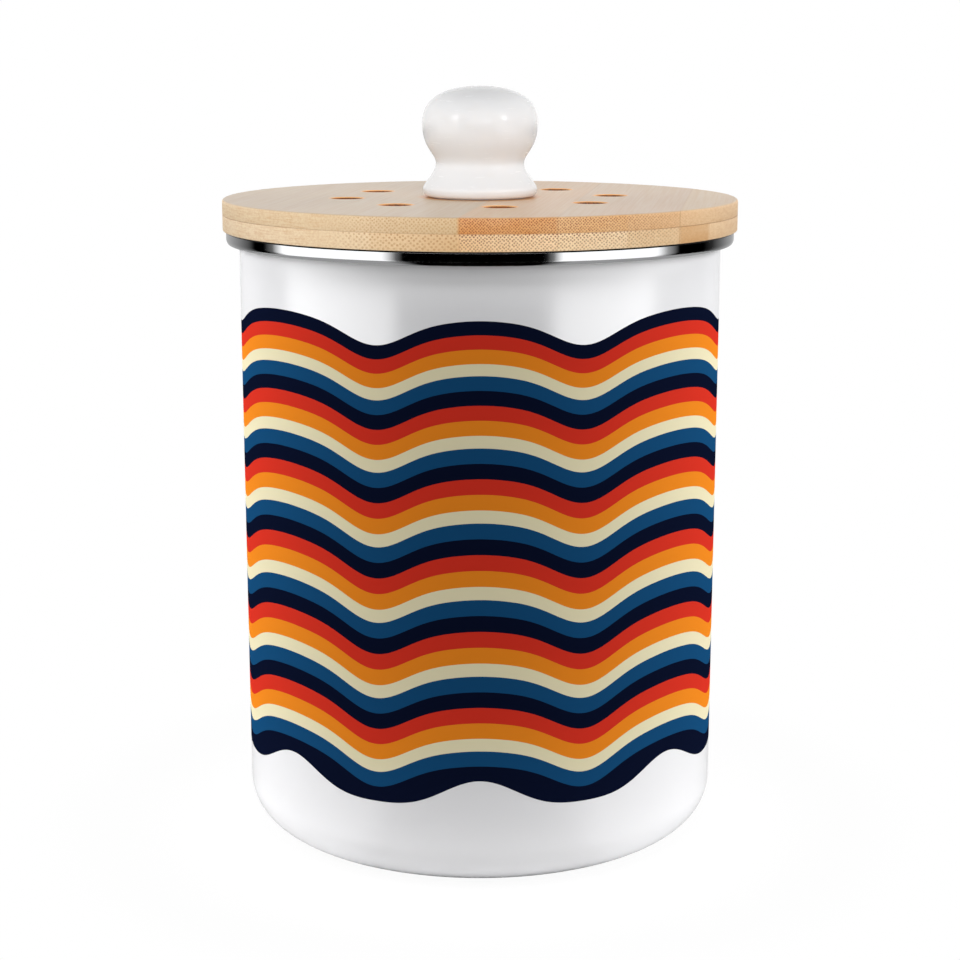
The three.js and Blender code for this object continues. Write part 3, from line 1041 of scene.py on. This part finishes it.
pad = {
    "radius": 51.6,
    "low": 179.1,
    "high": 184.9,
    "crown": 0.7,
    "shoulder": 1.5,
    "underTurn": (0.4, 0.9),  # how far in and up the felt turns from its side to its underside
    "overTurn": (0.5, 0.9),  # and to its top
    "steps": 14,
    "fuzz": 0.11,
    "fuzzEven": 0.4,
    "seed": 7,
    "segments": 120,
    "fill": 0.9,
    "fibres": (20, (0.5, 2.6, 1.4), 5, 0.65, 1.2),
    "fibreTones": ((0.3, shade(20, 20, 22)), (0.55, shade(34, 34, 37)), (0.75, shade(62, 62, 66))),
    "grainTone": shade(10, 10, 11),
    "grainScale": 1.1,
    "grainDepth": 0.8,
    "cloudTone": shade(46, 45, 45),
    "clouds": (0.1, 3, 0.35, 0.65, 0.3),
    "roughness": 0.95,
    "bumps": (0.25, 0.7),
    "shader": {"Specular IOR Level": 0.2, "Sheen Weight": 0.25, "Sheen Roughness": 0.6},
}


def mouldedPlastic():
    material, surface = newMaterial("mouldedPlastic")
    roughness = uneven(holder, clouds(*holder["clouds"][:2]))
    finish(surface, holder, mottled(holder), roughness, clouds(*holder["texture"]))
    return material


plastic = mouldedPlastic()


def makeFilterFrame():
    outer, bore, flangeBore, low, top = pull(holder, "outer", "bore", "flangeBore", "low", "top")
    hole, flare = pull(holder, "holeRadius", "holeFlare")
    under = top - holder["flange"]
    outline = [(bore, low), (outer, low), (outer, top), (flangeBore, top), (flangeBore, under), (bore, under)]
    piece = turnPiece("filterFrame", outline, holder["segments"], closed=True)
    roundEdges(piece, holder["edge"])
    outline = [(hole + 2 * flare, under - flare), (hole, under + flare), (hole, top + overrun)]
    merge(piece, joinPieces(pilotCopies(turnPiece("holeCutter", outline, 24))))
    settle(piece, "lid", plastic, "filter_frame")


def slotCutters():
    # windows of the grille: a ring cut by two planes, each half a rib from a side of the sector
    reach = overrun + grille["corner"]
    low, high = grille["low"] - reach, grille["floor"] + reach
    pitch = (grille["bore"] - grille["hub"]) / grille["rings"]
    sector = 360 / grille["sectors"]
    half = grille["rib"] / 2 * mm
    sides = ((0, 1, 0), (math.sin(math.radians(sector)), -math.cos(math.radians(sector)), 0))
    cutters = []
    for i in range(grille["rings"]):
        inner = grille["hub"] + i * pitch
        outer = inner + pitch - grille["rib"]
        outline = [(inner, low), (outer, low), (outer, high), (inner, high)]
        first = turnPiece("slotCutter", outline, grille["segments"], closed=True)
        for side in sides:
            setMode("EDIT")
            selectAll("SELECT")
            place = tuple(half * k for k in side)
            bpy.ops.mesh.bisect(plane_co=place, plane_no=side, use_fill=True, clear_inner=True)
            setMode("OBJECT")
        roundEdges(first, grille["corner"], steps=3, angle=60)
        cutters += [copyTo(first, turn=k * sector) for k in range(grille["sectors"])]
        bpy.data.objects.remove(first)
    return cutters


def makeGrip():
    deselectEverything()
    middle = grille["low"] - grille["gripDepth"] / 2 + grille["edge"]
    bpy.ops.mesh.primitive_cube_add(size=mm, location=(0, 0, middle * mm))
    grip = bpy.context.object
    grip.scale = (grille["gripLength"], grille["gripWidth"], grille["gripDepth"] + 2 * grille["edge"])
    bpy.ops.object.transform_apply()
    roundEdges(grip, grille["gripEdge"], steps=4)
    return grip


def makeFilterCap():
    low, floor, lip, skirt, top, bore = pull(grille, "low", "floor", "lip", "skirt", "skirtTop", "bore")
    outline = [(core, low), (lip, low), (lip, floor), (skirt, floor), (skirt, top)]
    outline += [(bore, top), (bore, floor), (core, floor)]
    piece = turnPiece("filterCap", outline, grille["segments"])
    roundEdges(piece, grille["edge"])
    merge(piece, joinPieces(slotCutters()))
    merge(piece, makeGrip(), "UNION")
    settle(piece, "filter_cap", plastic, "filter_cap")


def charcoalFelt():
    material, surface = newMaterial("charcoalFelt")
    fibres = streaks(*pad["fibres"])
    grains = cells(pad["grainScale"])
    tone = bands(fibres, pad["fibreTones"], True)
    tone = blendColours(rescale(grains, 0.08, 0.2, pad["grainDepth"], 0), tone, pad["grainTone"])
    height = minus(fibres, rescale(grains, 0.05, 0.25, 0.5, 0))
    finish(surface, pad, mottled(pad, tone), pad["roughness"], height)
    return material


def makePad():
    # a round felt pad: soft shoulders, a slight crown and a fuzzy skin
    radius, low, high, crown = pull(pad, "radius", "low", "high", "crown")
    (underIn, underUp), (overIn, overDown) = pad["underTurn"], pad["overTurn"]
    flat = radius - pad["shoulder"]
    radii = [1 + (flat - 1) * i / pad["steps"] for i in range(pad["steps"] + 1)]
    outline = [(r, low) for r in radii]
    outline += [(radius - underIn, low + underUp), (radius, (low + high) / 2)]
    outline += [(radius - overIn, high - crown - overDown)]
    outline += [(r, high - crown * (r / flat) ** 4) for r in reversed(radii)]
    piece = turnPiece("charcoalPad", outline, pad["segments"])
    setMode("EDIT")
    selectAll("SELECT")
    bpy.ops.transform.vertex_random(offset=pad["fuzz"] * mm, seed=pad["seed"], uniform=pad["fuzzEven"])
    setMode("OBJECT")
    change(piece, "SUBSURF", levels=1, render_levels=1)
    settle(piece, "filter_pad", charcoalFelt(), "charcoal_filter", 60)


makeFilterFrame()
makeFilterCap()
makePad()


# fasteners, whose CAD solids stay and only get a finish
say("fasteners")
zinc = {
    "tint": shade(190, 193, 198),
    "cloudTone": shade(206, 200, 182),
    "clouds": (0.5, 3, 0.35, 0.65, 0.7),
    "lines": (35, (1.5, 14, 6), 3),
    "lineDepth": 0.1,
    "roughness": 0.34,
    "drift": (0.06, 0.12),
    "bumps": (0.4, 0.8),
    "shader": {"Metallic": 1},
    "threadPitch": 0.8,
    "threadFrom": 189.0,  # thread rings start above the heads, in the wood
    "nodes": ["knob_screw", "knob_washer"] + ["frame_screw_" + str(i) for i in range(1, 5)],
}
brass = {
    "tint": shade(206, 172, 104),
    "cloudTone": shade(184, 142, 78),
    "clouds": (0.4, 3, 0.35, 0.65, 0.6),
    "lines": (0, (0.3, 0.3, 9), 3),
    "roughness": 0.28,
    "drift": (0.06, 0.1),
    "bumps": (0.03, 0.5),
    "shader": {"Metallic": 1},
    "nodes": ("knob_insert",),
}


def metalLook(name, look):
    material, surface = newMaterial(name)
    lines = streaks(*look["lines"])
    height = lines
    if "threadFrom" in look:
        z = split(placeIn())[2]
        thread = times(calc("PINGPONG", z, look["threadPitch"] / 2), above(z, look["threadFrom"]))
        height = timesPlus(lines, look["lineDepth"], thread)
    finish(surface, look, mottled(look), uneven(look, lines), height)
    for node in look["nodes"]:
        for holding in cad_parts[node].material_slots:
            holding.material = material


metalLook("zincPlate", zinc)
metalLook("machinedBrass", brass)


# studio: pale floor, one set of soft boxes for the canister and one for the lid, and mirrored cards
say("studio")
studio = {
    # name, radiance, azimuth, distance, low edge, width, height, tilt and kind: a soft one leaves no
    # highlight, and a glint leaves nothing else
    "canisterBoxes": (
        ("canisterLeft", 4.55, -90, 1.2, 0.2, 1.5, 0.8, 0, "soft"),
        ("canisterRight", 3.3, 70, 1.2, 0.2, 1.5, 0.8, 0, "soft"),
        ("canisterLeftBack", 3.4, -112, 1.2, 0.2, 1.2, 0.8, 0, "soft"),
        ("canisterRightBack", 4.7, 112, 1.2, 0.2, 1.2, 0.8, 0, "soft"),
        ("canisterOver", 7.2, 0, 0.55, 1.2, 1.2, 0.9, 62, "plain"),
    ),
    "lidBoxes": (
        ("lidFront", 6.35, 0, 1.2, 0.15, 1.0, 0.6, 10, "soft"),
        ("lidLeftBack", 4.0, -112, 1.2, 0.0, 1.2, 0.8, 0, "soft"),
        ("lidRightBack", 4.0, 112, 1.2, 0.0, 1.2, 0.8, 0, "soft"),
        ("lidOver", 1.8, 0, 1.0, 0.8, 1.0, 0.8, 42, "soft"),
        ("lidBack", 4.1, 180, 1.3, 0.0, 1.2, 0.7, 0, "soft"),
        ("lidGlintLeft", 5.0, -50, 1.2, 0.4, 0.2, 0.4, 0, "glint"),
        ("lidGlintRight", 6.0, 50, 1.2, 0.4, 0.2, 0.4, 0, "glint"),
    ),
    "canisterPieces": ("canister", "rimBand", "floor"),  # the lid's boxes reach all the others
    "ambient": 0.02,
    "floorSize": 8,
    "floorReach": (84.0, 150.0),  # from the axis, where the pale middle ends
    "floorTones": (0.85, 0.1),  # middle and far, for the light that they throw back
    "floorGlows": (0.95, 1.0),  # how much of each the camera sees as plain white
    "floorShader": {"Roughness": 0.6, "Specular IOR Level": 0.1},
}
# what the rim band mirrors at its own height: black ahead, bright at both sides, grey behind
mirror = {
    "radius": 500.0,
    "low": 2.0,
    "high": 190.0,
    "strength": 1.3,
    "stops": (  # azimuth in degrees, 0 on the camera's side, and how bright
        (-180, 0.34), (-158, 0.38), (-138, 0.26), (-128, 0.18), (-118, 0.08), (-112, 0), (-103, 0),
        (-97, 0.12), (-90, 1), (-40, 1), (-37, 0.6), (-34, 0.12), (-31, 0), (26.5, 0), (29.5, 0.15),
        (33.5, 1), (78, 1), (84, 0.3), (91, 0), (110, 0), (118, 0.02), (128, 0.12), (138, 0.23),
        (148, 0.3), (158, 0.42), (180, 0.34),
    ),
    "matRadius": 499.0,  # a grey mat on the floor, black ahead
    "matHeight": 0.5,
    "matGrey": 0.27,
    "matFront": (28.0, 40.0),
    "segments": 96,
}


def beforeBounce(path):
    # 1 until the light has fallen on something matt
    return below(path.outputs["Diffuse Depth"], 0.5)


def plainSight():
    # 1 for what the camera sees, straight or mirrored, and 0 for the light that falls on things
    path = addNode("LightPath")
    seen = calc("MAXIMUM", path.outputs["Is Camera Ray"], path.outputs["Is Glossy Ray"])
    seen = calc("MAXIMUM", seen, path.outputs["Is Transmission Ray"])
    return times(seen, beforeBounce(path))


def makeFloor():
    deselectEverything()
    bpy.ops.mesh.primitive_plane_add(size=studio["floorSize"])
    floor = bpy.context.object
    floor.name = "floor"
    material, surface = newMaterial("paleFloor")
    far = fade(placeRound()[3], *studio["floorReach"])
    plug(surface.inputs["Base Color"], blendColours(far, *(grey(tone) for tone in studio["floorTones"])))
    dress(surface, studio["floorShader"])
    mix = addNode("MixShader")
    share = times(plainSight(), rescale(far, 0, 1, *studio["floorGlows"]))
    feed(mix, share, surface.outputs[0], addNode("Emission").outputs[0])
    showAs(mix.outputs[0])
    floor.data.materials.append(material)


def makeWorld():
    world = bpy.data.worlds.new("studio")
    world.use_nodes = True
    bpy.context.scene.world = world
    inHand["tree"] = world.node_tree
    strength = rescale(plainSight(), 0, 1, studio["ambient"], 1)
    dress(world.node_tree.nodes["Background"], {"Color": grey(1), "Strength": strength})


def makeSoftbox(name, radiance, azimuth, distance, low, width, height, tilt, kind):
    # azimuth 0 is on the camera's side; the box faces the axis, leaning down by the tilt
    data = bpy.data.lights.new(name, "AREA")
    data.shape = "RECTANGLE"
    data.size = width
    data.size_y = height
    data.energy = radiance * math.pi * width * height
    item = bpy.data.objects.new(name, data)
    turn = math.radians(azimuth)
    item.location = (distance * math.sin(turn), -distance * math.cos(turn), low + height / 2)
    item.rotation_euler = (math.radians(90 - tilt), 0, turn)
    item.visible_camera = False
    item.visible_glossy = kind != "soft"
    item.visible_diffuse = kind != "glint"
    bpy.context.scene.collection.objects.link(item)
    return item


def makeSoftboxes():
    # each set reaches its own pieces, as with flags in a studio
    meshes = [item for item in bpy.context.scene.objects if item.type == "MESH"]
    for name in ("canisterBoxes", "lidBoxes"):
        lit = bpy.data.collections.new(name + "Reach")
        for item in meshes:
            if (item.name in studio["canisterPieces"]) == (name == "canisterBoxes"):
                lit.objects.link(item)
        for box in studio[name]:
            makeSoftbox(*box).light_linking.receiver_collection = lit


def reflectedOnly(card, material, tone):
    # a card seen in reflections alone, as bright as its tone says
    glow = addNode("Emission")
    feed(glow, tone, times(beforeBounce(addNode("LightPath")), mirror["strength"]))
    showAs(glow.outputs[0])
    card.data.materials.append(material)
    for ray in ("camera", "shadow", "diffuse", "transmission"):
        setattr(card, "visible_" + ray, False)


def azimuthInDegrees():
    x, y, _ = split(placeIn())
    return calc("DEGREES", azimuthOf(x, y))


def makeMirrorWall():
    wall = plainRod(mirror["radius"], mirror["low"], mirror["high"], mirror["segments"], "mirrorWall")
    pick(wall, "FACE", lambda face: abs(face.normal.z) > 0.5)
    bpy.ops.mesh.delete(type="ONLY_FACE")
    setMode("OBJECT")
    material, _ = newMaterial("mirrorWall")
    place = timesPlus(azimuthInDegrees(), 1 / 360, 0.5)
    stops = [(degrees / 360 + 0.5, grey(tone)) for degrees, tone in mirror["stops"]]
    reflectedOnly(wall, material, bands(place, stops, True))


def makeMirrorMat():
    deselectEverything()
    radius, height = mirror["matRadius"] * mm, mirror["matHeight"] * mm
    bpy.ops.mesh.primitive_circle_add(
        vertices=mirror["segments"], radius=radius, fill_type="NGON", location=(0, 0, height))
    mat = bpy.context.object
    mat.name = "mirrorMat"
    bpy.ops.object.transform_apply()
    material, _ = newMaterial("mirrorMat")
    side = rescale(calc("ABSOLUTE", azimuthInDegrees()), *mirror["matFront"], 0, mirror["matGrey"])
    reflectedOnly(mat, material, blendColours(side, grey(0), grey(1)))


makeFloor()
makeWorld()
makeSoftboxes()
makeMirrorWall()
makeMirrorMat()

bpy.context.scene.view_settings.view_transform = "Standard"
